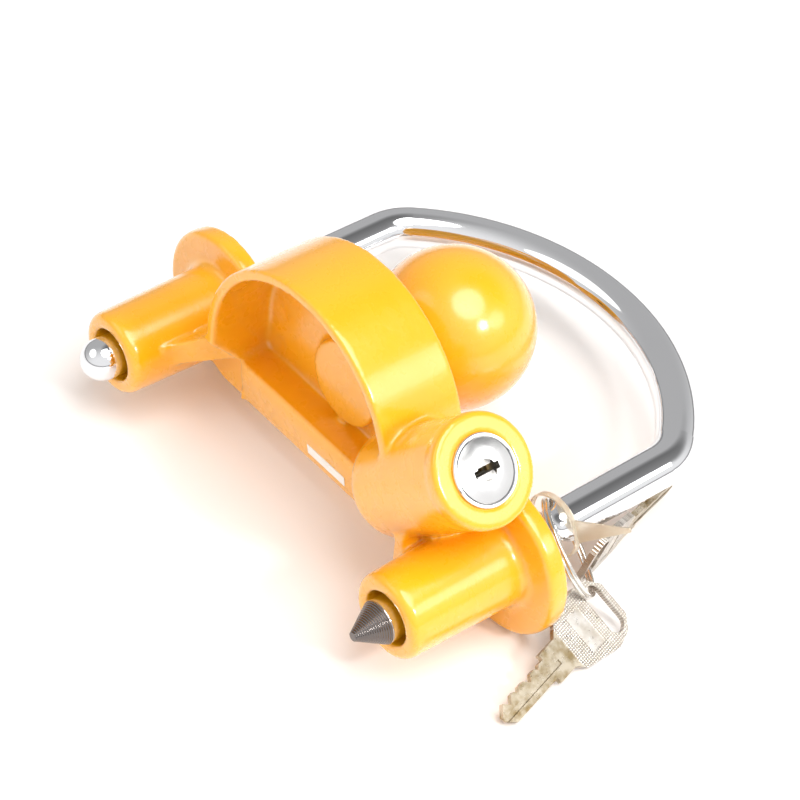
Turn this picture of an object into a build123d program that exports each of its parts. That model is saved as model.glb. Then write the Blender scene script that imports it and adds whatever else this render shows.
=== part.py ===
from build123d import *
import os
from math import cos, radians, sin, sqrt, tan

os.makedirs("parts", exist_ok=True)

# ---------------------------------------------------------------- driving dimensions (mm)
# Sizes below are given from the lock's own axes: x from the plane midway between the legs,
# y back from the front ends of the tubes, z up from the axes of the legs. These three place them.
MID_X = -5.65
FRONT_Y = -66.6
LEG_Z = 23.3

LEG_X = 62.2            # leg axis from the middle plane
ROD_R = 6.35            # shackle bar, half an inch across

TUBE_R = 12.5
TUBE_R_BACK = 13.2      # the tube's draft widens it towards the flange
TUBE_EDGE = 2.4
TUBE_BORE_R = 8.0
FLANGE_R = 23.3
FLANGE_Y = 38.0         # front face of the flanges
BACK_Y = 44.0           # back face of flanges, plate and arch
FLANGE_EDGE = 1.6

ARCH_R = 40.0
ARCH_Z = 18.5
ARCH_FRONT_Y = 17.0
POCKET_R = 36.8
POCKET_FLOOR_Y = 37.2
POCKET_CORNER = 3.0
LEDGE_Z = 4.0           # top of the beam, the pocket's lower wall
LEDGE_FRONT_Y = 26.6
BEAM_BOTTOM_Z = -12.0
WEB_R = 18.6            # hollow sweep from the arch down to each tube
WEB_CENTRE = (57.0, 24.0)
SWEEP_FOOT_X = -50.0
SWEEP_FOOT_R = 8.0
RIB_FRONT_Y = 15.5
BOSS_R = 13.15
BOSS_Z = 18.1
BOSS_FACE_Y = 34.3

BALL_R = 23.8           # 1-7/8 inch coupler ball
BALL_Y = 74.25
BALL_Z = 19.2
BALL_NECK_R = 10.0
BALL_NECK_BLEND = 3.0
STUD_R = 6.0
STUD_DEPTH = 7.6

# Shackle, on the plane of the leg axes
BOW_R = 75.5            # centreline of the bow
BOW_CENTRE_Y = 62.0
CORNER_R = 16.0
DOME_Y = -2.75          # centre of the left end's dome
CONE_BASE_Y = -2.0
CONE_TIP_Y = -10.65
CONE_TIP_R = 1.3
GROOVE_PITCH = 10.5
GROOVES = 6
GROOVE_DEPTH = 1.3
GROOVE_WIDTH = 7.0

# Lock barrel: its axis leans from the horizontal, square to the legs
LOCK_LEAN = 44.0
LOCK_Y = 27.5
LOCK_TO_LEG = 27.9      # barrel axis to leg axis
BOLT_DEPTH = 29.9       # barrel face to bolt axis
BARREL_R = 15.2
COLLAR_R = 15.5
COLLAR_LENGTH = 4.4
BARREL_LENGTH = 46.6
BARREL_END_ROUND = 6.0

LOCK_BORE_R = 9.0
LOCK_BORE_DEPTH = 36.0
HOUSING_FRONT = 1.2     # depths are measured in from the barrel face
HOUSING_BACK = 22.0
RING_R = 9.8
RING_PROUD = 0.6
CAP_R = 8.5
CAP_DOME = 0.5
CAP_BACK = 0.9
RING_GAP = 0.25         # between the turning cap and the fixed ring
RUN_CLEARANCE = 0.05
PLUG_R = 6.5
TAIL_R = 4.0
TAIL_END = 23.6
KEYWAY = (8.1, 2.0)
KEYHOLE_R = 2.95
KEYWAY_DEPTH = 19.5
WAFERS = 5
WAFER_PITCH = 3.0
WAFER_FIRST = 4.4
WAFER = (9.4, 5.0, 1.2)  # along the keyway, across it, thick
WAFER_LOW = -4.0
WAFER_FLOOR = -5.7
CLIP_R = 5.4
CLIP_GROOVE_R = 3.2
CLIP_FRONT = 22.2
CLIP_THICK = 0.8
CAM_R = 5.5
CAM_THICK = 1.6
CAM_PIN_R = 1.2
CAM_THROW = 2.2         # bolt travel for a quarter turn
CAM_PIN_END = 28.9
BOLT_R = 4.4
BOLT_NOSE = 2.8
BOLT_TIP_CLEAR = 7.6    # bolt tip to leg axis, drawn back
BOLT_REAR = 6.0         # rear end from the barrel axis, drawn back
BOLT_SLOT_FLOOR = 29.4
BOLT_BORE_END = 12.4
CROSS_BORE_R = 4.8
SPRING_R = 3.4
SPRING_WIRE_R = 0.5
SPRING_TURNS = 4
HOUSING_PIN_R = 1.5
HOUSING_PIN_DEPTH = 11.0
HOUSING_PIN_IN = 8.0

# Key, in its own plane: from the blade's tip along it, and across it
KEY_THICK = 1.8
KEY_BLADE_LENGTH = 21.0
KEY_BLADE_R = 3.2       # half the blade's width
KEY_NECK_END = 28.0
KEY_NECK_R = 4.8
KEY_BOW_R = 10.5
KEY_LENGTH = 51.7
KEY_SLOT = (15.4, 5.6)
KEY_SLOT_AT = 47.0
KEY_PANEL = (5.4, 11.9)
KEY_PANEL_AT = 38.0
KEY_CUTS = ((4.4, 1.9), (8.6, 1.1), (13.6, 1.7), (18.0, 1.0))  # place and depth
KEY_GROOVE_R = 0.8
KEY_GROOVE_DEPTH = 0.5

# Split ring round the right leg, hanging from it and leaning
RING_MEAN_R = 14.7
RING_WIRE_R = 0.62
RING_HANG = Vector(0.778, -0.034, -0.627).normalized()   # from the leg down to the keys
RING_SIDE = Vector(0.446, -0.677, 0.584).normalized()
RING_LEG_Y = 61.2
RING_LEG_GAP = 0.45

STRAP_Y = 60.0          # middle of the tie strap's loop round the right leg and the ring's wire
STRAP_IN_R = 9.0
STRAP_THICK = 0.6
STRAP_WIDTH = 1.7
STRAP_TAIL = ((6.4, 7.0), (10.0, 1.5), (26.5, 19.5), (26.0, 20.5))
LABEL = (16.5, 3.6, 0.25)
LABEL_X = 3.5
LABEL_Z = -6.3


def at(x, y, z):
    """A point given from the lock's own axes."""
    return Vector(MID_X + x, FRONT_Y + y, LEG_Z + z)


def across(y):
    """Plane square to the legs at depth y: sketch x is x, sketch y is z, extrudes to the front."""
    return Plane(origin=at(0, y, 0), x_dir=(1, 0, 0), z_dir=(0, -1, 0))


LOCK_AXIS = Vector(cos(radians(LOCK_LEAN)), 0, sin(radians(LOCK_LEAN)))
TO_LEG = Vector(sin(radians(LOCK_LEAN)), 0, -cos(radians(LOCK_LEAN)))
FACE = at(LEG_X, LOCK_Y, 0) - TO_LEG * LOCK_TO_LEG + LOCK_AXIS * BOLT_DEPTH


def lock_plane(depth):
    """Plane square to the barrel: sketch x runs back along y, sketch y points away from the leg."""
    return Plane(origin=FACE - LOCK_AXIS * depth, x_dir=(0, 1, 0), z_dir=LOCK_AXIS)


def bolt_plane(distance):
    """Plane square to the bolt, at a distance from the barrel axis towards the leg."""
    origin = FACE - LOCK_AXIS * BOLT_DEPTH + TO_LEG * distance
    return Plane(origin=origin, x_dir=(0, 1, 0), z_dir=TO_LEG)


def leg_section(side):
    """Plane through a leg's axis: sketch x is the radius, sketch y runs back along the leg."""
    return Plane(origin=at(side * LEG_X, 0, 0), x_dir=(1, 0, 0), z_dir=(0, 0, 1))


def save(part, name):
    part.label = name
    export_step(part, f"parts/{name}.step")


# ---------------------------------------------------------------- body casting
def beside_barrel(depth, sideways):
    """Sketch point on an across() plane, by depth along the barrel and distance towards the leg."""
    spot = FACE - LOCK_AXIS * depth + TO_LEG * sideways
    return (spot.X - MID_X, spot.Z - LEG_Z)


# what the side walls' sweep, the ledge and the beam's leaning face take off the block's front
with BuildPart() as front_cut:
    with BuildSketch(Plane(origin=at(-LEG_X, 0, 0), x_dir=(0, 1, 0), z_dir=(1, 0, 0))):
        with BuildLine():
            Polyline((ARCH_FRONT_Y - 1, LEDGE_Z + LEDGE_FRONT_Y - ARCH_FRONT_Y + 1),
                     (LEDGE_FRONT_Y, LEDGE_Z), (LEDGE_FRONT_Y, LEDGE_Z - 4.5),
                     (LEDGE_FRONT_Y + 2.2, BEAM_BOTTOM_Z - 1), (LEDGE_FRONT_Y + 2.2, -20),
                     (ARCH_FRONT_Y - 1, -20), close=True)
        make_face()
    extrude(amount=2 * LEG_X)
    # towards the tubes the beam's face comes forward again at 45 degrees
    with BuildSketch(Plane(origin=at(0, 0, -25), x_dir=(1, 0, 0), z_dir=(0, 0, 1))):
        ramp_foot = POCKET_R + LEDGE_FRONT_Y
        with BuildLine():
            Polyline((ramp_foot - ARCH_FRONT_Y + 1, ARCH_FRONT_Y - 1), (ramp_foot - 30, 30),
                     (30 - ramp_foot, 30), (ARCH_FRONT_Y - 1 - ramp_foot, ARCH_FRONT_Y - 1), close=True)
        make_face()
    extrude(amount=50, mode=Mode.INTERSECT)

# carries the left sweep's leaning front face on into the tube's side
with BuildPart() as sweep_foot:
    with BuildSketch(Plane(origin=at(0, 0, -2.4), x_dir=(1, 0, 0), z_dir=(0, 0, 1))):
        ramp_at = -POCKET_R - LEDGE_FRONT_Y   # the face's plane is y = x - ramp_at
        turn = SWEEP_FOOT_R * tan(radians(22.5))
        corner_y = SWEEP_FOOT_X - ramp_at
        with BuildLine():
            Line((SWEEP_FOOT_X - 4, corner_y - turn), (SWEEP_FOOT_X, corner_y - turn))
            RadiusArc((SWEEP_FOOT_X, corner_y - turn),
                      (SWEEP_FOOT_X + turn * cos(radians(45)), corner_y + turn * sin(radians(45))), SWEEP_FOOT_R)
            Polyline((SWEEP_FOOT_X + turn * cos(radians(45)), corner_y + turn * sin(radians(45))),
                     (ARCH_FRONT_Y + 1 + ramp_at, ARCH_FRONT_Y + 1), (SWEEP_FOOT_X - 4, ARCH_FRONT_Y + 1),
                     (SWEEP_FOOT_X - 4, corner_y - turn))
        make_face()
    extrude(amount=14)
    with BuildSketch(across(ARCH_FRONT_Y + 2)):
        with Locations((-WEB_CENTRE[0], WEB_CENTRE[1])):
            Circle(WEB_R)
        with BuildLine():
            Polyline((-36, 4.5), (-52, -2.4), (-LEG_X, -2.4), (-LEG_X, -20), (-36, -20), close=True)
        make_face()
    extrude(amount=20, mode=Mode.SUBTRACT)

with BuildPart() as body:
    # arch, plate, beam and the hollow sweeps down to the tubes
    with BuildSketch(across(BACK_Y)):
        with BuildLine():
            Polyline((-LEG_X, 0), (-WEB_CENTRE[0], -8), (-46, BEAM_BOTTOM_Z), (46, BEAM_BOTTOM_Z),
                     (WEB_CENTRE[0], -8), (LEG_X, 0), WEB_CENTRE, (-WEB_CENTRE[0], WEB_CENTRE[1]),
                     close=True)
        make_face()
        with Locations(WEB_CENTRE, (-WEB_CENTRE[0], WEB_CENTRE[1])):
            Circle(WEB_R, mode=Mode.SUBTRACT)
        with BuildLine():
            ThreePointArc((ARCH_R, ARCH_Z), (0, ARCH_Z + ARCH_R), (-ARCH_R, ARCH_Z))
            Polyline((-ARCH_R, ARCH_Z), (-ARCH_R, LEDGE_Z), (ARCH_R, LEDGE_Z), (ARCH_R, ARCH_Z))
        make_face()
    extrude(amount=BACK_Y - ARCH_FRONT_Y)
    add(front_cut.part, mode=Mode.SUBTRACT)
    # under the left sweep the block ends in line with the beam's face
    with BuildSketch(across(LEDGE_FRONT_Y + 2.2)):
        with BuildLine():
            Polyline((-36, 4.5), (-52, -2.4), (-LEG_X, -2.4), (-LEG_X, -20), (-36, -20), close=True)
        make_face()
    extrude(amount=LEDGE_FRONT_Y + 2.2 - ARCH_FRONT_Y + 1, mode=Mode.SUBTRACT)
    add(sweep_foot.part)
    # D pocket, then the boss on its floor
    with BuildSketch(across(POCKET_FLOOR_Y)):
        with BuildLine():
            left, right = -POCKET_R, POCKET_R
            ThreePointArc((right, ARCH_Z), (0, ARCH_Z + POCKET_R), (left, ARCH_Z))
            Line((left, ARCH_Z), (left, LEDGE_Z + POCKET_CORNER))
            RadiusArc((left, LEDGE_Z + POCKET_CORNER), (left + POCKET_CORNER, LEDGE_Z), -POCKET_CORNER)
            Line((left + POCKET_CORNER, LEDGE_Z), (right - POCKET_CORNER, LEDGE_Z))
            RadiusArc((right - POCKET_CORNER, LEDGE_Z), (right, LEDGE_Z + POCKET_CORNER), -POCKET_CORNER)
            Line((right, LEDGE_Z + POCKET_CORNER), (right, ARCH_Z))
        make_face()
    extrude(amount=POCKET_FLOOR_Y, mode=Mode.SUBTRACT)
    with BuildSketch(across(POCKET_FLOOR_Y)):
        with Locations((0, BOSS_Z)):
            Circle(BOSS_R)
    extrude(amount=POCKET_FLOOR_Y - BOSS_FACE_Y)
    # ejector marks on the pocket's floor
    with BuildSketch(across(POCKET_FLOOR_Y + 0.3)):
        with Locations((-31, 9), (-30.5, 20.5), (31, 20.5)):
            Circle(2.3)
    extrude(amount=0.4, mode=Mode.SUBTRACT)
    # tubes with their flanges
    for side in (-1, 1):
        with BuildSketch(leg_section(side)):
            with BuildLine():
                Line((0, 0), (TUBE_R - TUBE_EDGE, 0))
                RadiusArc((TUBE_R - TUBE_EDGE, 0), (TUBE_R, TUBE_EDGE), -TUBE_EDGE)
                Line((TUBE_R, TUBE_EDGE), (TUBE_R_BACK, FLANGE_Y - TUBE_EDGE))
                RadiusArc((TUBE_R_BACK, FLANGE_Y - TUBE_EDGE), (TUBE_R_BACK + TUBE_EDGE, FLANGE_Y), TUBE_EDGE)
                Line((TUBE_R_BACK + TUBE_EDGE, FLANGE_Y), (FLANGE_R - FLANGE_EDGE, FLANGE_Y))
                RadiusArc((FLANGE_R - FLANGE_EDGE, FLANGE_Y), (FLANGE_R, FLANGE_Y + FLANGE_EDGE), -FLANGE_EDGE)
                Line((FLANGE_R, FLANGE_Y + FLANGE_EDGE), (FLANGE_R, BACK_Y))
                Line((FLANGE_R, BACK_Y), (0, BACK_Y))
                Line((0, BACK_Y), (0, 0))
            make_face()
        revolve(axis=Axis(at(side * LEG_X, 0, 0), (0, 1, 0)))
    # lock barrel with its collar and rounded lower end
    with BuildSketch(Plane(origin=FACE, x_dir=(0, 1, 0), z_dir=TO_LEG)):
        with BuildLine():
            Line((0, 0), (COLLAR_R - 1, 0))
            RadiusArc((COLLAR_R - 1, 0), (COLLAR_R, -1), 1)
            Line((COLLAR_R, -1), (COLLAR_R, -COLLAR_LENGTH))
            Line((COLLAR_R, -COLLAR_LENGTH), (BARREL_R - 0.4, -COLLAR_LENGTH - 0.5))
            Line((BARREL_R - 0.4, -COLLAR_LENGTH - 0.5), (BARREL_R, -COLLAR_LENGTH - 1.2))
            Line((BARREL_R, -COLLAR_LENGTH - 1.2), (BARREL_R, BARREL_END_ROUND - BARREL_LENGTH))
            RadiusArc((BARREL_R, BARREL_END_ROUND - BARREL_LENGTH),
                      (BARREL_R - BARREL_END_ROUND, -BARREL_LENGTH), BARREL_END_ROUND)
            Line((BARREL_R - BARREL_END_ROUND, -BARREL_LENGTH), (0, -BARREL_LENGTH))
            Line((0, -BARREL_LENGTH), (0, 0))
        make_face()
    revolve(axis=Axis(FACE, LOCK_AXIS))
    # front rib and rear web between the barrel and the right tube
    with BuildSketch(across(LOCK_Y)):
        with BuildLine():
            Polyline((46, -2), (50, -2), (50, 11), (46, 8), close=True)
        make_face()
    extrude(amount=LOCK_Y - RIB_FRONT_Y)
    with BuildSketch(across(BACK_Y)):
        with BuildLine():
            Polyline(beside_barrel(34, 4), (50, 2), (60, 4), (LEG_X + 4.5, FLANGE_R - 1),
                     beside_barrel(9, 8), close=True)
        make_face()
    extrude(amount=BACK_Y - FLANGE_Y)

    # bores: legs, lock, bolt, housing pin and the ball's stud
    with BuildSketch(across(BACK_Y)):
        with Locations((-LEG_X, 0), (LEG_X, 0)):
            Circle(TUBE_BORE_R)
    extrude(amount=BACK_Y + 1, mode=Mode.SUBTRACT)
    with BuildSketch(lock_plane(0)):
        Circle(RING_R)
    extrude(amount=-HOUSING_FRONT, mode=Mode.SUBTRACT)
    with BuildSketch(lock_plane(0)):
        Circle(LOCK_BORE_R)
    extrude(amount=-LOCK_BORE_DEPTH, mode=Mode.SUBTRACT)
    with BuildSketch(bolt_plane(-BOLT_BORE_END)):
        Circle(BOLT_R + RUN_CLEARANCE)
    extrude(amount=BOLT_BORE_END + LOCK_TO_LEG, mode=Mode.SUBTRACT)
    with BuildSketch(bolt_plane(LOCK_TO_LEG)):
        Circle(CROSS_BORE_R)
    extrude(amount=2 * TUBE_R, mode=Mode.SUBTRACT)
    with BuildSketch(Plane(origin=FACE - LOCK_AXIS * HOUSING_PIN_DEPTH, x_dir=LOCK_AXIS, z_dir=(0, 1, 0))):
        Circle(HOUSING_PIN_R)
    extrude(amount=2 * BARREL_R, mode=Mode.SUBTRACT)
    with BuildSketch(across(BACK_Y)):
        with Locations((0, BALL_Z)):
            Circle(STUD_R)
    extrude(amount=STUD_DEPTH, mode=Mode.SUBTRACT)
save(body.part, "body_casting")

# ---------------------------------------------------------------- coupler ball
with BuildPart() as ball:
    with BuildSketch(Plane(origin=at(0, 0, BALL_Z), x_dir=(1, 0, 0), z_dir=(0, 0, 1))):
        neck_meets_ball = BALL_Y - sqrt(BALL_R**2 - BALL_NECK_R**2)
        with BuildLine():
            Line((0, BACK_Y - STUD_DEPTH), (STUD_R, BACK_Y - STUD_DEPTH))
            Line((STUD_R, BACK_Y - STUD_DEPTH), (STUD_R, BACK_Y))
            Line((STUD_R, BACK_Y), (BALL_NECK_R + BALL_NECK_BLEND, BACK_Y))
            RadiusArc((BALL_NECK_R + BALL_NECK_BLEND, BACK_Y),
                      (BALL_NECK_R, BACK_Y + BALL_NECK_BLEND), BALL_NECK_BLEND)
            Line((BALL_NECK_R, BACK_Y + BALL_NECK_BLEND), (BALL_NECK_R, neck_meets_ball))
            ThreePointArc((BALL_NECK_R, neck_meets_ball), (BALL_R, BALL_Y), (0, BALL_Y + BALL_R))
            Line((0, BALL_Y + BALL_R), (0, BACK_Y - STUD_DEPTH))
        make_face()
    revolve(axis=Axis(at(0, 0, BALL_Z), (0, 1, 0)))
save(ball.part, "coupler_ball")

# ---------------------------------------------------------------- shackle
corner_x = LEG_X - CORNER_R
corner_rise = sqrt((BOW_R - CORNER_R)**2 - corner_x**2)
corner_y = BOW_CENTRE_Y + corner_rise
bow_start = (corner_x * BOW_R / (BOW_R - CORNER_R), BOW_CENTRE_Y + corner_rise * BOW_R / (BOW_R - CORNER_R))
corner_mid = (corner_x + CORNER_R * cos(radians(19.5)), corner_y + CORNER_R * sin(radians(19.5)))

with BuildPart() as shackle:
    with BuildLine(Plane(origin=at(0, 0, 0), x_dir=(1, 0, 0), z_dir=(0, 0, 1))) as bow_path:
        Line((-LEG_X, DOME_Y), (-LEG_X, corner_y))
        ThreePointArc((-LEG_X, corner_y), (-corner_mid[0], corner_mid[1]), (-bow_start[0], bow_start[1]))
        ThreePointArc((-bow_start[0], bow_start[1]), (0, BOW_CENTRE_Y + BOW_R), bow_start)
        ThreePointArc(bow_start, corner_mid, (LEG_X, corner_y))
        Line((LEG_X, corner_y), (LEG_X, CONE_BASE_Y))
    with BuildSketch(Plane(origin=at(-LEG_X, DOME_Y, 0), x_dir=(1, 0, 0), z_dir=(0, 1, 0))):
        Circle(ROD_R)
    sweep(path=bow_path.line)
    with BuildSketch(leg_section(-1)):
        with BuildLine():
            Line((0, DOME_Y - ROD_R), (0, DOME_Y))
            Line((0, DOME_Y), (ROD_R, DOME_Y))
            ThreePointArc((ROD_R, DOME_Y), (ROD_R * sin(radians(45)), DOME_Y - ROD_R * cos(radians(45))),
                          (0, DOME_Y - ROD_R))
        make_face()
    revolve(axis=Axis(at(-LEG_X, 0, 0), (0, 1, 0)))
    with BuildSketch(leg_section(1)):
        with BuildLine():
            Polyline((0, CONE_TIP_Y), (CONE_TIP_R, CONE_TIP_Y), (ROD_R, CONE_BASE_Y), (0, CONE_BASE_Y),
                     close=True)
        make_face()
    revolve(axis=Axis(at(LEG_X, 0, 0), (0, 1, 0)))
    # ratchet grooves turned round the right leg, one of them under the bolt
    groove_r = (GROOVE_DEPTH**2 + (GROOVE_WIDTH / 2)**2) / (2 * GROOVE_DEPTH)
    for step in range(GROOVES):
        groove_y = LOCK_Y + (step - 2) * GROOVE_PITCH
        with BuildSketch(leg_section(1)):
            with Locations((ROD_R - GROOVE_DEPTH + groove_r, groove_y)):
                Circle(groove_r)
        revolve(axis=Axis(at(LEG_X, 0, 0), (0, 1, 0)), mode=Mode.SUBTRACT)
save(shackle.part, "shackle")

# ---------------------------------------------------------------- lock: fixed pieces
with BuildPart() as housing:
    with BuildSketch(lock_plane(HOUSING_FRONT)):
        Circle(LOCK_BORE_R)
        Circle(PLUG_R + RUN_CLEARANCE, mode=Mode.SUBTRACT)
    extrude(amount=HOUSING_FRONT - HOUSING_BACK)
    with BuildSketch(Plane(origin=FACE - LOCK_AXIS * HOUSING_PIN_DEPTH + Vector(0, HOUSING_PIN_IN, 0),
                           x_dir=LOCK_AXIS, z_dir=(0, 1, 0))):
        Circle(HOUSING_PIN_R)
    extrude(amount=LOCK_BORE_R, mode=Mode.SUBTRACT)
save(housing.part, "lock_housing")

with BuildPart() as face_ring:
    with BuildSketch(Plane(origin=FACE, x_dir=(0, 1, 0), z_dir=TO_LEG)):
        inner = CAP_R + RING_GAP
        with BuildLine():
            Polyline((inner, -HOUSING_FRONT), (RING_R, -HOUSING_FRONT), (RING_R, RING_PROUD - 0.3),
                     (RING_R - 0.3, RING_PROUD), (inner + 0.3, RING_PROUD), (inner, RING_PROUD - 0.3),
                     close=True)
        make_face()
    revolve(axis=Axis(FACE, LOCK_AXIS))
save(face_ring.part, "lock_face_ring")

with BuildPart() as housing_pin:
    with BuildSketch(Plane(origin=FACE - LOCK_AXIS * HOUSING_PIN_DEPTH + Vector(0, HOUSING_PIN_IN, 0),
                           x_dir=LOCK_AXIS, z_dir=(0, 1, 0))):
        Circle(HOUSING_PIN_R)
    extrude(amount=BARREL_R - HOUSING_PIN_IN - 0.4)
save(housing_pin.part, "housing_pin")

with BuildPart() as cross_plug:
    with BuildSketch(bolt_plane(LOCK_TO_LEG + TUBE_BORE_R + 0.1)):
        Circle(CROSS_BORE_R)
    extrude(amount=TUBE_R - TUBE_BORE_R)
    with BuildSketch(leg_section(1)):
        with BuildLine():
            Polyline((0, 0), (TUBE_R, 0), (TUBE_R_BACK, FLANGE_Y), (0, FLANGE_Y), close=True)
        make_face()
    revolve(axis=Axis(at(LEG_X, 0, 0), (0, 1, 0)), mode=Mode.INTERSECT)
save(cross_plug.part, "cross_bore_plug")

# ---------------------------------------------------------------- lock: turning pieces
def wafer_planes():
    """Planes at the front of each wafer's place along the plug."""
    return [lock_plane(WAFER_FIRST + number * WAFER_PITCH) for number in range(WAFERS)]


with BuildPart() as plug:
    with BuildSketch(lock_plane(CAP_BACK)):
        Circle(PLUG_R)
    extrude(amount=CAP_BACK - HOUSING_BACK)
    with BuildSketch(lock_plane(HOUSING_BACK)):
        Circle(TAIL_R)
    extrude(amount=HOUSING_BACK - TAIL_END)
    with BuildSketch(lock_plane(CLIP_FRONT)):
        Circle(TAIL_R)
        Circle(CLIP_GROOVE_R, mode=Mode.SUBTRACT)
    extrude(amount=-CLIP_THICK, mode=Mode.SUBTRACT)
    with BuildSketch(lock_plane(CAP_BACK)):
        Rectangle(*KEYWAY)
    extrude(amount=CAP_BACK - KEYWAY_DEPTH, mode=Mode.SUBTRACT)
    for plane in wafer_planes():
        with BuildSketch(plane):
            with Locations((WAFER_FLOOR, 0)):
                Rectangle(2 * PLUG_R, WAFER[1] + 0.1, align=(Align.MIN, Align.CENTER))
        extrude(amount=-WAFER[2], mode=Mode.SUBTRACT)
save(plug.part, "lock_plug")

with BuildPart() as cap:
    with BuildSketch(Plane(origin=FACE, x_dir=(0, 1, 0), z_dir=TO_LEG)):
        with BuildLine():
            Line((0, -CAP_BACK), (CAP_R, -CAP_BACK))
            Line((CAP_R, -CAP_BACK), (CAP_R, RING_PROUD - 0.3))
            ThreePointArc((CAP_R, RING_PROUD - 0.3), (CAP_R * 0.6, RING_PROUD + CAP_DOME * 0.5),
                          (0, RING_PROUD + CAP_DOME))
            Line((0, RING_PROUD + CAP_DOME), (0, -CAP_BACK))
        make_face()
    revolve(axis=Axis(FACE, LOCK_AXIS))
    with BuildSketch(lock_plane(-2)):
        Circle(KEYHOLE_R)
        Rectangle(*KEYWAY)
    extrude(amount=-2 - CAP_BACK, mode=Mode.SUBTRACT)
save(cap.part, "lock_plug_cap")

with BuildPart() as wafers:
    for plane in wafer_planes():
        with BuildSketch(plane):
            with Locations((WAFER_LOW, 0)):
                Rectangle(WAFER[0], WAFER[1], align=(Align.MIN, Align.CENTER))
            Rectangle(KEYWAY[0] - 1.2, KEYWAY[1] + 0.6, mode=Mode.SUBTRACT)
        extrude(amount=-WAFER[2])
save(wafers.part, "wafers")

with BuildPart() as wafer_springs:
    for plane in wafer_planes():
        start = plane.origin + Vector(0, WAFER_FLOOR, 0) - LOCK_AXIS * WAFER[2] / 2
        with BuildSketch(Plane(origin=start, x_dir=LOCK_AXIS, z_dir=(0, 1, 0))):
            Circle(0.55)
            Circle(0.25, mode=Mode.SUBTRACT)
        extrude(amount=WAFER_LOW - WAFER_FLOOR)
save(wafer_springs.part, "wafer_springs")

with BuildPart() as clip:
    with BuildSketch(lock_plane(CLIP_FRONT)):
        Circle(CLIP_R)
        Circle(CLIP_GROOVE_R, mode=Mode.SUBTRACT)
        Rectangle(CLIP_R, 2 * CLIP_GROOVE_R - 1.2, align=(Align.MIN, Align.CENTER), mode=Mode.SUBTRACT)
    extrude(amount=-CLIP_THICK)
save(clip.part, "plug_clip")

with BuildPart() as cam:
    with BuildSketch(lock_plane(TAIL_END)):
        Circle(CAM_R)
    extrude(amount=-CAM_THICK)
    with BuildSketch(lock_plane(TAIL_END + CAM_THICK)):
        with Locations((0, CAM_THROW)):
            Circle(CAM_PIN_R)
    extrude(amount=TAIL_END + CAM_THICK - CAM_PIN_END)
save(cam.part, "cam")

# ---------------------------------------------------------------- bolt and its spring
bolt_tip = LOCK_TO_LEG - BOLT_TIP_CLEAR
with BuildPart() as bolt:
    with BuildSketch(bolt_plane(-BOLT_REAR)):
        Circle(BOLT_R)
    extrude(amount=BOLT_REAR + bolt_tip)
    chamfer(bolt.edges().sort_by(lambda edge: edge.center().Z)[0], length=BOLT_NOSE)
    # slot that the cam's pin turns in
    with BuildSketch(lock_plane(BOLT_DEPTH - BOLT_R - 0.1)):
        with Locations((0, CAM_THROW)):
            Rectangle(2 * BOLT_R + 1, 2 * (CAM_PIN_R + 0.7))
    extrude(amount=BOLT_DEPTH - BOLT_R - 0.1 - BOLT_SLOT_FLOOR, mode=Mode.SUBTRACT)
save(bolt.part, "locking_bolt")

spring_length = BOLT_BORE_END - BOLT_REAR - 2 * SPRING_WIRE_R
spring_start = -BOLT_BORE_END + SPRING_WIRE_R
spring_base = bolt_plane(spring_start)
coil = Helix(pitch=spring_length / SPRING_TURNS, height=spring_length, radius=SPRING_R,
             center=spring_base.origin, direction=TO_LEG, mode=Mode.PRIVATE)
with BuildPart() as bolt_spring:
    with BuildSketch(Plane(origin=coil @ 0, z_dir=coil % 0)):
        Circle(SPRING_WIRE_R)
    sweep(path=coil, is_frenet=True)
save(bolt_spring.part, "bolt_spring")

# ---------------------------------------------------------------- key ring, keys and tie strap
ring_centre = at(LEG_X, RING_LEG_Y, 0) + RING_HANG * (RING_MEAN_R - RING_WIRE_R - ROD_R - RING_LEG_GAP)
ring_axis = RING_HANG.cross(RING_SIDE).normalized()
with BuildPart() as split_ring:
    # two turns of wire side by side
    with BuildSketch(Plane(origin=ring_centre, x_dir=RING_HANG, z_dir=RING_HANG.cross(ring_axis))):
        with Locations((RING_MEAN_R, -0.9 * RING_WIRE_R), (RING_MEAN_R, 0.9 * RING_WIRE_R)):
            Circle(RING_WIRE_R)
    revolve(axis=Axis(ring_centre, ring_axis))
save(split_ring.part, "split_ring")


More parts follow.
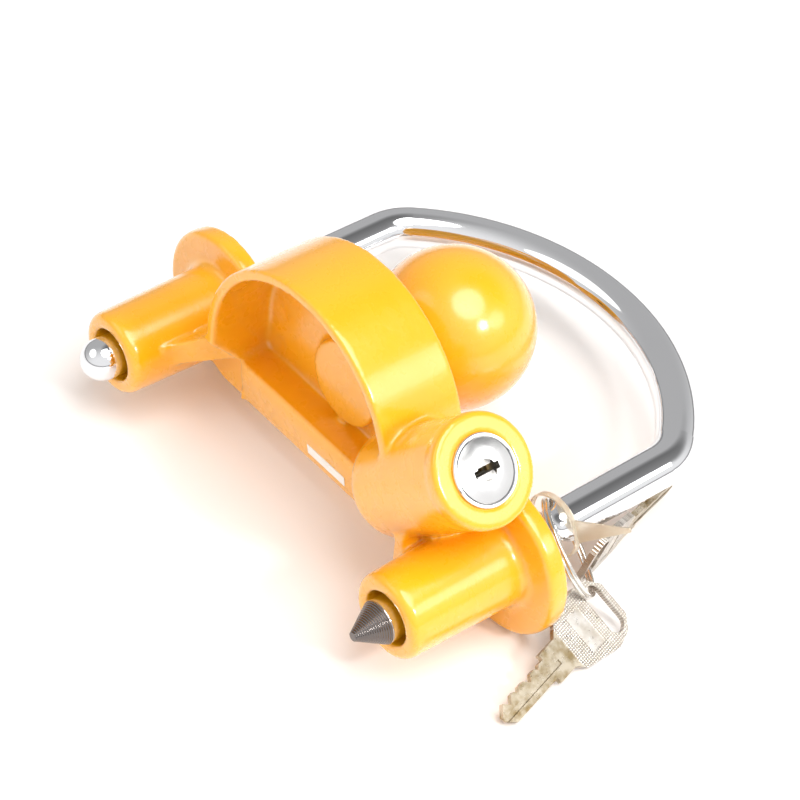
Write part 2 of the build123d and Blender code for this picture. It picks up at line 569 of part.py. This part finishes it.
def key(plane):
    """One flat key with its blade's tip at the plane's origin."""
    top = KEY_THICK / 2
    with BuildPart() as blank:
        with BuildSketch(plane.offset(-top)):
            with BuildLine():
                Polyline((0, -0.8), (2.6, -KEY_BLADE_R), (KEY_BLADE_LENGTH, -KEY_BLADE_R),
                         (KEY_BLADE_LENGTH, -KEY_NECK_R), (KEY_NECK_END, -KEY_NECK_R),
                         (31, -7.6), (43, -KEY_BOW_R), (48.5, -9.0), (KEY_LENGTH, -5.4),
                         (KEY_LENGTH, 5.4), (48.5, 9.0), (43, KEY_BOW_R), (31, 7.6),
                         (KEY_NECK_END, KEY_NECK_R), (KEY_BLADE_LENGTH, KEY_NECK_R),
                         (KEY_BLADE_LENGTH, KEY_BLADE_R), (2.6, KEY_BLADE_R), (0, 0.8), close=True)
            make_face()
            with Locations((KEY_SLOT_AT, 0)):
                SlotOverall(*KEY_SLOT, rotation=90, mode=Mode.SUBTRACT)
            for place, depth in KEY_CUTS:
                with Locations((place, KEY_BLADE_R)):
                    Rectangle(sqrt(2) * depth, sqrt(2) * depth, rotation=45, mode=Mode.SUBTRACT)
                    Rectangle(1.2, depth, mode=Mode.SUBTRACT)
        extrude(amount=KEY_THICK)
        with BuildSketch(plane.offset(top), plane.offset(KEY_GROOVE_DEPTH - top)):
            with Locations((KEY_BLADE_LENGTH / 2 + 2, -0.6)):
                Rectangle(KEY_BLADE_LENGTH + 4, 2 * KEY_GROOVE_R)
        extrude(amount=-KEY_GROOVE_DEPTH, mode=Mode.SUBTRACT)
        with BuildSketch(plane.offset(top), plane.offset(0.2 - top)):
            with Locations((KEY_PANEL_AT, 0)):
                Rectangle(*KEY_PANEL)
        extrude(amount=-0.2, mode=Mode.SUBTRACT)
    return blank.part


def key_plane(slot_point, across_slot, along, normal):
    """A key's plane, from where the ring crosses its slot and how the key lies."""
    upright = normal - along * normal.dot(along)
    frame = Plane(origin=slot_point, x_dir=along, z_dir=upright)
    return Plane(origin=frame.from_local_coords((-KEY_SLOT_AT, -across_slot, 0)), x_dir=along, z_dir=upright)


def on_ring(degrees_round):
    turn = radians(degrees_round)
    return ring_centre + (RING_HANG * cos(turn) - RING_SIDE * sin(turn)) * RING_MEAN_R


save(key(key_plane(on_ring(0), 4.9, Vector(-0.24, 0.97, 0.083).normalized(), Vector(0.57, 0.04, 0.82))), "key_1")
save(key(key_plane(on_ring(55), -4.6, Vector(0.28, -0.952, 0.12).normalized(), Vector(-0.941, -0.248, 0.232))),
     "key_2")

with BuildPart() as strap:
    with BuildSketch(across(STRAP_Y + STRAP_WIDTH / 2)):
        with Locations((LEG_X, 0)):
            Circle(STRAP_IN_R + STRAP_THICK)
            Circle(STRAP_IN_R, mode=Mode.SUBTRACT)
    extrude(amount=STRAP_WIDTH)
    with BuildSketch(across(STRAP_Y + STRAP_THICK / 2)):
        with BuildLine():
            Polyline(*[(LEG_X + x, z) for x, z in STRAP_TAIL], close=True)
        make_face()
    extrude(amount=STRAP_THICK)
save(strap.part, "tie_strap")

# ---------------------------------------------------------------- blank label on the beam's leaning face
lean = Vector(0, 2.2, -(LEDGE_Z - 4.5 - BEAM_BOTTOM_Z + 1)).normalized()
outwards = lean.cross(Vector(1, 0, 0))
label_y = LEDGE_FRONT_Y + 2.2 * (LEDGE_Z - 4.5 - LABEL_Z) / (LEDGE_Z - 4.5 - BEAM_BOTTOM_Z + 1)
with BuildPart() as label:
    with BuildSketch(Plane(origin=at(LABEL_X, label_y, LABEL_Z), x_dir=(1, 0, 0), z_dir=outwards)):
        Rectangle(LABEL[0], LABEL[1])
    extrude(amount=LABEL[2])
save(label.part, "blank_label")
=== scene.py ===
from math import cos, radians, sin, tau
import bpy
from mathutils import Matrix, Vector


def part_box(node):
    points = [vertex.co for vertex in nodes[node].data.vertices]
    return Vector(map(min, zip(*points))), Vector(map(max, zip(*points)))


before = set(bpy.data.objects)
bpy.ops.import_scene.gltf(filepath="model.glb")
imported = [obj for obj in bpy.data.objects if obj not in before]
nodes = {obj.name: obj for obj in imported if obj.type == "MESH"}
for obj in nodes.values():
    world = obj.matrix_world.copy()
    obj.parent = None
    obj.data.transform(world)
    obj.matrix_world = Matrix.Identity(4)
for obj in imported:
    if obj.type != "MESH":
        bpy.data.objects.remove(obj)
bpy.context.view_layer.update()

scene = bpy.context.scene
MM = 0.001

# ---------------------------------------------------------------- camera
azimuth, elevation, roll = radians(46.13), radians(42.63), radians(6.38)
target = Vector((5.94, -21.13, 38.59)) * MM
distance = 0.7176
back = Vector((cos(elevation) * sin(azimuth), -cos(elevation) * cos(azimuth), sin(elevation)))
level = Vector((cos(azimuth), sin(azimuth), 0))
upright = back.cross(level)
right = level * cos(roll) + upright * sin(roll)
up = back.cross(right)
camera = bpy.data.objects.new("camera", bpy.data.cameras.new("camera"))
camera.data.lens = 117
camera.data.sensor_width = 36
camera.data.clip_start = 0.01
turned = Matrix((right, up, back)).transposed().to_4x4()
camera.matrix_world = Matrix.Translation(target + back * distance) @ turned
scene.collection.objects.link(camera)
scene.camera = camera


# ---------------------------------------------------------------- material helpers
RANGE_SOCKETS = ("From Min", "From Max", "To Min", "To Max")


class Shader:
    """A Principled material, its patterns laid out in the object's own coordinates, in metres."""

    def __init__(self, name, color, metallic=0.0, roughness=0.4, **sockets):
        self.material = bpy.data.materials.new(name)
        self.material.use_nodes = True
        self.tree = self.material.node_tree
        self.main = self.tree.nodes["Principled BSDF"]
        self.main.inputs["Base Color"].default_value = (*color, 1)
        self.main.inputs["Metallic"].default_value = metallic
        self.main.inputs["Roughness"].default_value = roughness
        for socket, value in sockets.items():
            self.main.inputs[socket.replace("_", " ")].default_value = value
        self.place = self.node("ShaderNodeTexCoord").outputs["Object"]
        self.bumped = None

    def node(self, kind, **settings):
        made = self.tree.nodes.new(kind)
        for name, value in settings.items():
            setattr(made, name, value)
        return made

    def link(self, value, socket):
        if hasattr(value, "is_output"):
            self.tree.links.new(value, socket)
        else:
            socket.default_value = value

    def math(self, operation, a, b=0.0, clamp=False):
        made = self.node("ShaderNodeMath", operation=operation, use_clamp=clamp)
        self.link(a, made.inputs[0])
        self.link(b, made.inputs[1])
        return made.outputs[0]

    def along(self, direction, origin=(0, 0, 0)):
        """Distance from origin along a direction, in metres."""
        away = self.node("ShaderNodeVectorMath", operation="SUBTRACT")
        self.link(self.place, away.inputs[0])
        away.inputs[1].default_value = origin
        made = self.node("ShaderNodeVectorMath", operation="DOT_PRODUCT")
        self.link(away.outputs[0], made.inputs[0])
        made.inputs[1].default_value = direction
        return made.outputs["Value"]

    def noise(self, size, detail=3, roughness=0.55, stretch=None):
        place = self.place
        if stretch:
            scale = self.node("ShaderNodeVectorMath", operation="MULTIPLY")
            self.link(place, scale.inputs[0])
            scale.inputs[1].default_value = stretch
            place = scale.outputs[0]
        made = self.node("ShaderNodeTexNoise")
        self.link(place, made.inputs["Vector"])
        made.inputs["Scale"].default_value = 1 / size
        made.inputs["Detail"].default_value = detail
        made.inputs["Roughness"].default_value = roughness
        return made.outputs["Fac"]

    def span(self, value, low, high, to_low=0.0, to_high=1.0):
        made = self.node("ShaderNodeMapRange")
        self.link(value, made.inputs["Value"])
        for name, number in zip(RANGE_SOCKETS, (low, high, to_low, to_high)):
            made.inputs[name].default_value = number
        return made.outputs["Result"]

    def within(self, value, low, high, soft=0.0002):
        rise = self.span(value, low - soft, low + soft)
        fall = self.span(value, high - soft, high + soft, 1.0, 0.0)
        return self.math("MULTIPLY", rise, fall)

    def ripple(self, value, pitch):
        """Smooth ridges, 0 to 1, one every pitch metres."""
        wave = self.math("SINE", self.math("MULTIPLY", value, tau / pitch))
        return self.math("MULTIPLY", self.math("ADD", wave, 1.0), 0.5)

    def mix(self, amount, a, b):
        made = self.node("ShaderNodeMix", data_type="RGBA")
        self.link(amount, made.inputs["Factor"])
        for socket, value in ((made.inputs[6], a), (made.inputs[7], b)):
            self.link(value if hasattr(value, "is_output") else (*value, 1), socket)
        return made.outputs[2]

    def color(self, value):
        self.link(value, self.main.inputs["Base Color"])

    def rough(self, value):
        self.link(value, self.main.inputs["Roughness"])

    def bump(self, height, depth, strength=1.0):
        made = self.node("ShaderNodeBump")
        made.inputs["Strength"].default_value = strength
        made.inputs["Distance"].default_value = depth
        self.link(height, made.inputs["Height"])
        if self.bumped:
            self.link(self.bumped, made.inputs["Normal"])
        self.bumped = made.outputs["Normal"]
        self.link(self.bumped, self.main.inputs["Normal"])


def dress(shader, *names):
    for name in names:
        node = nodes[name]
        node.data.materials.clear()
        node.data.materials.append(shader.material)
        for number in range(len(node.material_slots)):
            node.material_slots[number].material = shader.material


# ---------------------------------------------------------------- yellow powder coat
coat = Shader("yellow_powder_coat", (0.93, 0.43, 0.012), roughness=0.27, Coat_Weight=1.0, Coat_Roughness=0.16)
cloud = coat.noise(0.022, 2)
coat.color(coat.mix(cloud, (0.94, 0.425, 0.007), (0.88, 0.385, 0.005)))
coat.rough(coat.span(coat.noise(0.006, 4), 0.3, 0.7, 0.23, 0.33))
coat.bump(coat.noise(0.0021, 2), 0.00011, 0.55)
coat.bump(coat.noise(0.011, 2), 0.0004, 0.35)
dress(coat, "body_casting", "coupler_ball", "cross_bore_plug")


def soften(name, voxel, rounds):
    """Rounds a casting's edges and inside corners, as its paint and its mould do."""
    node = nodes[name]
    weld = node.modifiers.new("weld", "WELD")
    weld.merge_threshold = 0.005 * MM
    remesh = node.modifiers.new("grain", "REMESH")
    remesh.mode = "VOXEL"
    remesh.voxel_size = voxel * MM
    remesh.use_smooth_shade = True
    smooth = node.modifiers.new("cast", "SMOOTH")
    smooth.factor = 0.5
    smooth.iterations = rounds


soften("body_casting", 0.62, 12)

# ---------------------------------------------------------------- bright metals
chrome = Shader("chrome_plate", (0.80, 0.81, 0.83), 1.0, 0.07)
chrome.rough(chrome.span(chrome.noise(0.009, 4), 0.3, 0.75, 0.045, 0.13))
chrome.bump(chrome.noise(0.016, 2), 0.0002, 0.22)
dress(chrome, "lock_face_ring")

# the shackle: plated all over, with a darker turned cone on its right end
CONE_LENGTH = (0.0084, 0.0090)
CONE_TURNS = 0.00055
bar = Shader("shackle_chrome", (0.80, 0.81, 0.83), 1.0, 0.07)
front_end = Vector(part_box("shackle")[0])
lengthwise = bar.along((0, 1, 0), (0, front_end.y, 0))
on_right = bar.span(bar.along((1, 0, 0)), -0.001, 0.001)
cone = bar.math("MULTIPLY", on_right, bar.span(lengthwise, *CONE_LENGTH, 1.0, 0.0))
rings = bar.ripple(lengthwise, CONE_TURNS)
plated = bar.mix(bar.noise(0.05, 2), (0.84, 0.85, 0.87), (0.77, 0.78, 0.80))
bar.color(bar.mix(cone, plated, (0.15, 0.135, 0.13)))
bar.rough(bar.math("ADD", bar.span(bar.noise(0.008, 4, stretch=(1, 0.3, 1)), 0.3, 0.75, 0.035, 0.11),
                   bar.math("MULTIPLY", cone, 0.13)))
bar.bump(bar.math("MULTIPLY", rings, cone), 0.00016, 1.0)
bar.bump(bar.noise(0.02, 2), 0.0003, 0.18)
dress(bar, "shackle")

cap = Shader("satin_chrome", (0.83, 0.83, 0.83), 1.0, 0.16)
cap.rough(cap.span(cap.noise(0.004, 4), 0.3, 0.75, 0.11, 0.21))
cap.bump(cap.noise(0.003, 3), 0.00005, 0.3)
dress(cap, "lock_plug_cap")

zinc = Shader("die_cast_zinc", (0.50, 0.49, 0.48), 1.0, 0.42)
zinc.color(zinc.mix(zinc.noise(0.004, 4), (0.56, 0.55, 0.53), (0.36, 0.35, 0.34)))
zinc.rough(zinc.span(zinc.noise(0.001, 3), 0.3, 0.7, 0.34, 0.52))
zinc.bump(zinc.noise(0.0009, 3), 0.00008, 0.5)
dress(zinc, "lock_housing", "lock_plug")

steel = Shader("plain_steel", (0.55, 0.55, 0.56), 1.0, 0.3)
steel.color(steel.mix(steel.noise(0.006, 4), (0.60, 0.60, 0.61), (0.44, 0.44, 0.45)))
steel.rough(steel.span(steel.noise(0.001, 3, stretch=(1, 6, 1)), 0.3, 0.7, 0.22, 0.4))
steel.bump(steel.noise(0.0008, 3, stretch=(1, 8, 1)), 0.00004, 0.4)
dress(steel, "locking_bolt", "cam", "plug_clip", "housing_pin", "bolt_spring", "wafer_springs")

brass = Shader("wafer_brass", (0.72, 0.53, 0.24), 1.0, 0.3)
brass.color(brass.mix(brass.noise(0.003, 4), (0.76, 0.58, 0.28), (0.58, 0.42, 0.18)))
brass.bump(brass.noise(0.0007, 3), 0.00004, 0.4)
dress(brass, "wafers")

wire = Shader("nickel_wire", (0.74, 0.73, 0.70), 1.0, 0.14)
wire.rough(wire.span(wire.noise(0.003, 4), 0.3, 0.7, 0.09, 0.24))
wire.bump(wire.noise(0.0006, 3), 0.00004, 0.35)
dress(wire, "split_ring")


# ---------------------------------------------------------------- keys
# along a key from its blade's tip: the slot's middle, the bow's start and the plain panel
KEY_SLOT_AT = 0.047
KEY_BOW_FROM = (0.0295, 0.0300)
KEY_PANEL = (0.0353, 0.0407)
KEY_PANEL_HALF = 0.00595
KEY_KNURL = 0.00075


def key_metal(name, slot_point, across_slot, along, normal):
    """Key blank metal: knurled bow round a plain panel, scratched blade. The frame is the key's own."""
    along = Vector(along).normalized()
    normal = Vector(normal)
    normal = (normal - along * normal.dot(along)).normalized()
    across = normal.cross(along)
    tip = Vector(slot_point) - along * KEY_SLOT_AT - across * across_slot
    shader = Shader(name, (0.74, 0.68, 0.58), 1.0, 0.3)
    x = shader.along(along, tip)
    y = shader.along(across, tip)
    bow = shader.span(x, *KEY_BOW_FROM)
    panel = shader.math("MULTIPLY", shader.within(x, *KEY_PANEL),
                        shader.within(y, -KEY_PANEL_HALF, KEY_PANEL_HALF))
    knurled = shader.math("MULTIPLY", bow, shader.math("SUBTRACT", 1.0, panel))
    ridges = shader.math("MINIMUM", shader.ripple(x, KEY_KNURL), shader.ripple(y, KEY_KNURL))
    stain = shader.noise(0.004, 5)
    blade = shader.mix(shader.span(stain, 0.40, 0.64), (0.52, 0.46, 0.36), (0.27, 0.20, 0.10))
    plate = shader.mix(shader.span(stain, 0.35, 0.7), (0.74, 0.71, 0.67), (0.50, 0.45, 0.38))
    # darker in the knurl's valleys, blended towards (0.30, 0.26, 0.22)
    knurl_valley_dark = shader.math("MULTIPLY", knurled, shader.span(ridges, 0.0, 0.6, 0.78, 0.0))
    shader.color(shader.mix(knurl_valley_dark, shader.mix(bow, blade, plate), (0.30, 0.26, 0.22)))
    shader.rough(shader.span(shader.noise(0.0015, 3), 0.3, 0.7, 0.24, 0.42))
    shader.bump(shader.math("MULTIPLY", ridges, knurled), 0.00014, 0.8)
    shader.bump(shader.noise(0.0006, 3, stretch=(1, 0.2, 1)), 0.00004, 0.4)
    return shader


key_one = key_metal("key_metal_one", (0.073654, -0.006147, 0.009516), 0.0049,
                    (-0.24, 0.97, 0.083), (0.57, 0.04, 0.82))
key_two = key_metal("key_metal_two", (0.063404, 0.002218, 0.006416), -0.0046,
                    (0.28, -0.952, 0.12), (-0.941, -0.248, 0.232))
dress(key_one, "key_1")
dress(key_two, "key_2")

# ---------------------------------------------------------------- tie strap and label
strap = Shader("translucent_strap", (0.93, 0.87, 0.74), roughness=0.3, Transmission_Weight=0.8, IOR=1.3)
strap.color(strap.mix(strap.noise(0.005, 3), (0.95, 0.90, 0.79), (0.89, 0.81, 0.66)))
strap.bump(strap.noise(0.0012, 3), 0.00008, 0.4)
dress(strap, "tie_strap")
paper = Shader("label_paper", (0.93, 0.92, 0.88), roughness=0.62)
paper.color(paper.mix(paper.noise(0.002, 5), (0.95, 0.94, 0.91), (0.90, 0.885, 0.84)))
paper.bump(paper.noise(0.0005, 4), 0.00003, 0.5)
dress(paper, "blank_label")

# ---------------------------------------------------------------- floor and light
floor_mesh = bpy.data.meshes.new("floor")
half = 3
corners = [(-half, -half, 0), (half, -half, 0), (half, half, 0), (-half, half, 0)]
floor_mesh.from_pydata(corners, [], [(0, 1, 2, 3)])
floor = bpy.data.objects.new("floor", floor_mesh)
scene.collection.objects.link(floor)
white = Shader("pale_floor", (0.90, 0.89, 0.885), roughness=0.75, Specular_IOR_Level=0.15)
white.color(white.mix(white.noise(0.4, 2), (0.905, 0.895, 0.89), (0.895, 0.885, 0.88)))
white.main.inputs["Emission Color"].default_value = (1.0, 0.985, 0.98, 1)
white.main.inputs["Emission Strength"].default_value = 0.03
floor_mesh.materials.append(white.material)

world = bpy.data.worlds.new("studio")
scene.world = world
world.use_nodes = True
sky = world.node_tree


def sky_node(kind, **settings):
    made = sky.nodes.new(kind)
    for name, value in settings.items():
        setattr(made, name, value)
    return made


def sky_range(value, low, high, to_low, to_high):
    made = sky_node("ShaderNodeMapRange", interpolation_type="SMOOTHSTEP")
    sky.links.new(value, made.inputs["Value"])
    for name, number in zip(RANGE_SOCKETS, (low, high, to_low, to_high)):
        made.inputs[name].default_value = number
    return made.outputs["Result"]


# a white room, brighter towards the right, dim at the foot of its walls and in a patch overhead
direction = sky_node("ShaderNodeTexCoord").outputs["Generated"]
towards = sky_node("ShaderNodeVectorMath", operation="DOT_PRODUCT")
sky.links.new(direction, towards.inputs[0])
towards.inputs[1].default_value = (0.86, -0.30, -0.42)
height = sky_node("ShaderNodeSeparateXYZ")
sky.links.new(direction, height.inputs[0])
bright = sky_range(towards.outputs["Value"], -0.85, 0.35, 0.40, 0.80)
foot = sky_range(height.outputs["Z"], 0.02, 0.13, 0.35, 1.0)
overhead = sky_node("ShaderNodeVectorMath", operation="DOT_PRODUCT")
sky.links.new(direction, overhead.inputs[0])
overhead.inputs[1].default_value = (0.20, 0.50, 0.84)
dark_patch = sky_range(overhead.outputs["Value"], 0.78, 0.96, 1.0, 0.32)
walls = sky_node("ShaderNodeMath", operation="MULTIPLY")
sky.links.new(bright, walls.inputs[0])
sky.links.new(foot, walls.inputs[1])
room = sky_node("ShaderNodeMath", operation="MULTIPLY")
sky.links.new(walls.outputs[0], room.inputs[0])
sky.links.new(dark_patch, room.inputs[1])
sky.links.new(room.outputs[0], sky.nodes["Background"].inputs["Strength"])
sky.nodes["Background"].inputs["Color"].default_value = (1.0, 0.99, 0.985, 1)


def softbox(name, towards_it, away, aim, size, watts, tint=(1, 1, 1)):
    """A round or oval area light, aimed at a point from a direction and a distance."""
    light = bpy.data.lights.new(name, "AREA")
    light.shape = "ELLIPSE"
    light.size, light.size_y = size
    light.energy = watts
    light.color = tint
    lamp = bpy.data.objects.new(name, light)
    lamp.location = Vector(aim) + Vector(towards_it).normalized() * away
    lamp.rotation_euler = (Vector(aim) - lamp.location).to_track_quat("-Z", "Y").to_euler()
    scene.collection.objects.link(lamp)


softbox("key_light", (0.80, 0.12, 0.60), 1.1, aim=(0, 0, 0.04), size=(0.13, 0.13), watts=3.4,
        tint=(1.0, 0.985, 0.96))
softbox("top_light", (0.34, 0.03, 0.94), 1.1, aim=(0, 0, 0.04), size=(0.85, 0.85), watts=7.2,
        tint=(1.0, 0.99, 0.97))
softbox("cap_light", (0.69, 0.51, 0.51), 1.1, aim=(0.06, -0.04, 0.06), size=(0.5, 0.4), watts=1.2)
softbox("front_fill", (-0.45, -0.8, 0.8), 1.3, aim=(0, 0, 0.03), size=(1.0, 0.8), watts=1.6,
        tint=(1.0, 0.99, 0.97))

scene.view_settings.view_transform = "Standard"
scene.view_settings.look = "None"
scene.view_settings.exposure = 0.36
